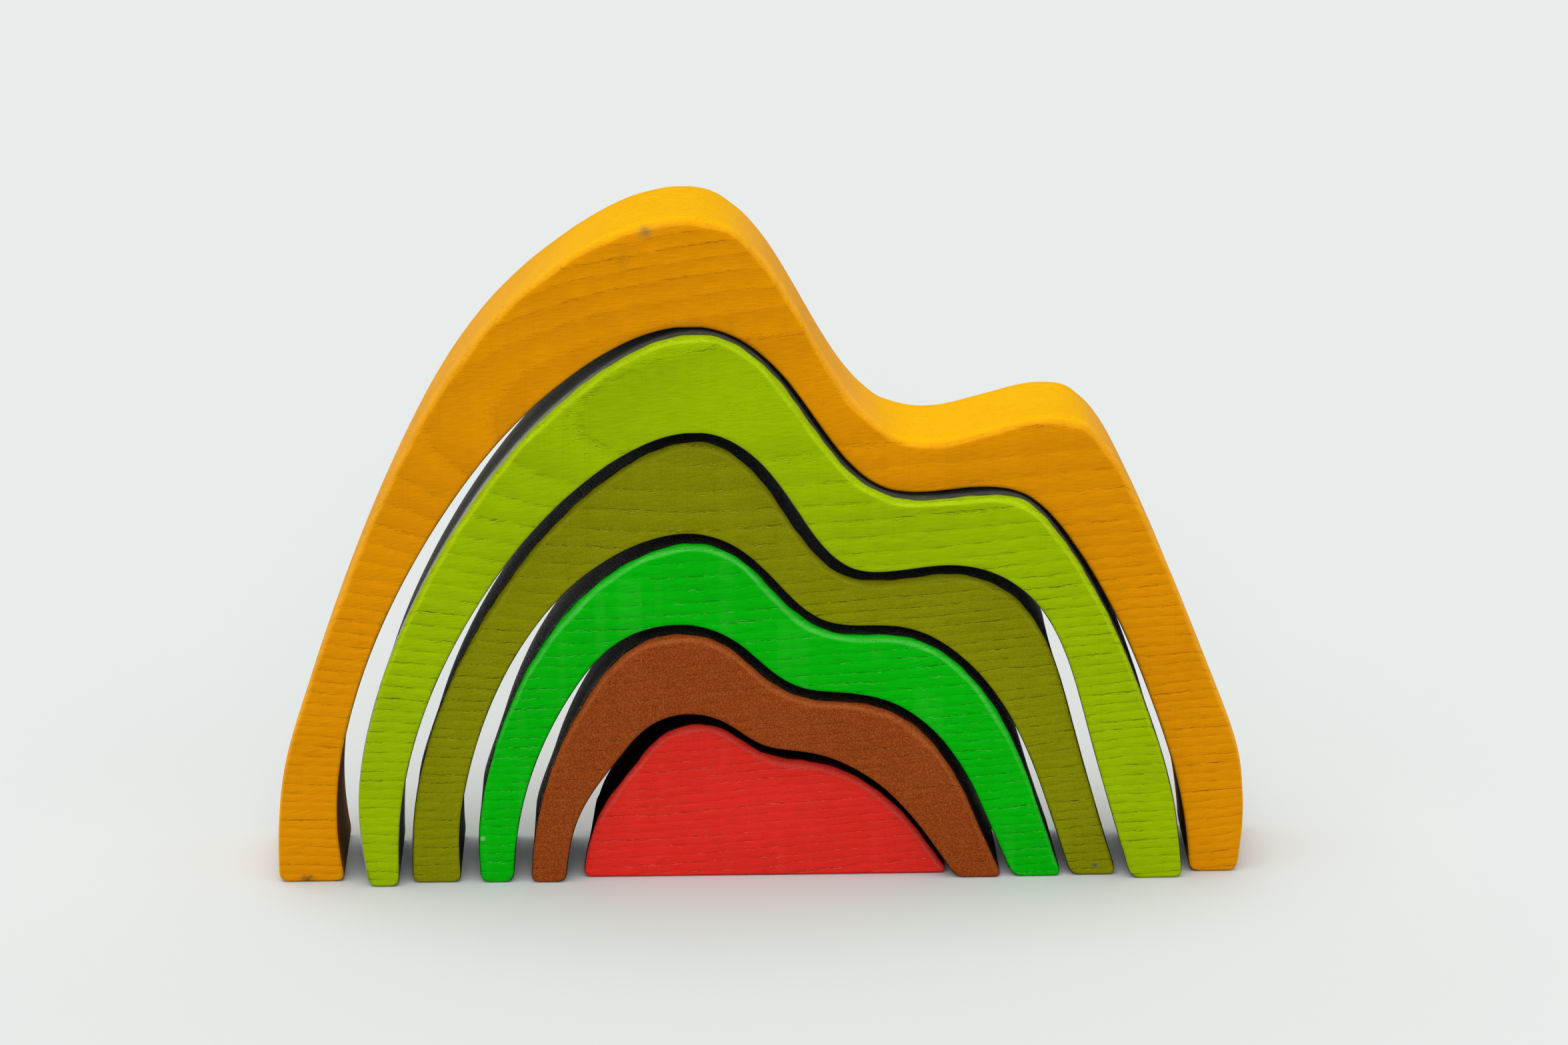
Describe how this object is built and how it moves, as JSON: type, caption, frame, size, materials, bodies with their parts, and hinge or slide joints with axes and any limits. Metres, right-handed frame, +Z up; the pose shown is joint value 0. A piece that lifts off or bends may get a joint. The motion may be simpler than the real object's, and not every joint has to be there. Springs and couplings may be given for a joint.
{
  "type": "mountain stacking block",
  "caption": "Wooden mountain stacking toy: nested wavy arches round a solid core, sawn from one board and stained in bright colours, with rounded edges and flat feet.",
  "frame": {"origin": "middle of the set's footprint, on the surface that all the feet stand on", "axes": "+Z up, +X along the board from the high peak towards the lower hill, +Y through the board's thickness towards the back"},
  "size_m": [0.3017, 0.046, 0.2139],
  "materials": {
    "orange_arch_wood": "stained open-grain wood, matt",
    "lime_arch_wood": "stained open-grain wood, matt",
    "olive_arch_wood": "stained open-grain wood, matt",
    "green_arch_wood": "stained open-grain wood, matt",
    "brown_arch_wood": "stained open-grain wood, matt",
    "red_core_wood": "stained open-grain wood, matt"
  },
  "bodies": {
    "orange_arch": {"orange_arch": "orange_arch_wood"},
    "lime_arch": {"lime_arch": "lime_arch_wood"},
    "olive_arch": {"olive_arch": "olive_arch_wood"},
    "green_arch": {"green_arch": "green_arch_wood"},
    "brown_arch": {"brown_arch": "brown_arch_wood"},
    "red_core": {"red_core": "red_core_wood"}
  },
  "joints": [
    {"name": "brown_lift", "type": "slide", "parent": "red_core", "child": "brown_arch", "axis": [0, 0, 1], "range_m": [0, 0.053]},
    {"name": "green_lift", "type": "slide", "parent": "brown_arch", "child": "green_arch", "axis": [0, 0, 1], "range_m": [0, 0.084]},
    {"name": "olive_lift", "type": "slide", "parent": "green_arch", "child": "olive_arch", "axis": [0, 0, 1], "range_m": [0, 0.114]},
    {"name": "lime_lift", "type": "slide", "parent": "olive_arch", "child": "lime_arch", "axis": [0, 0, 1], "range_m": [0, 0.146]},
    {"name": "orange_lift", "type": "slide", "parent": "lime_arch", "child": "orange_arch", "axis": [0, 0, 1], "range_m": [0, 0.181]}
  ]
}
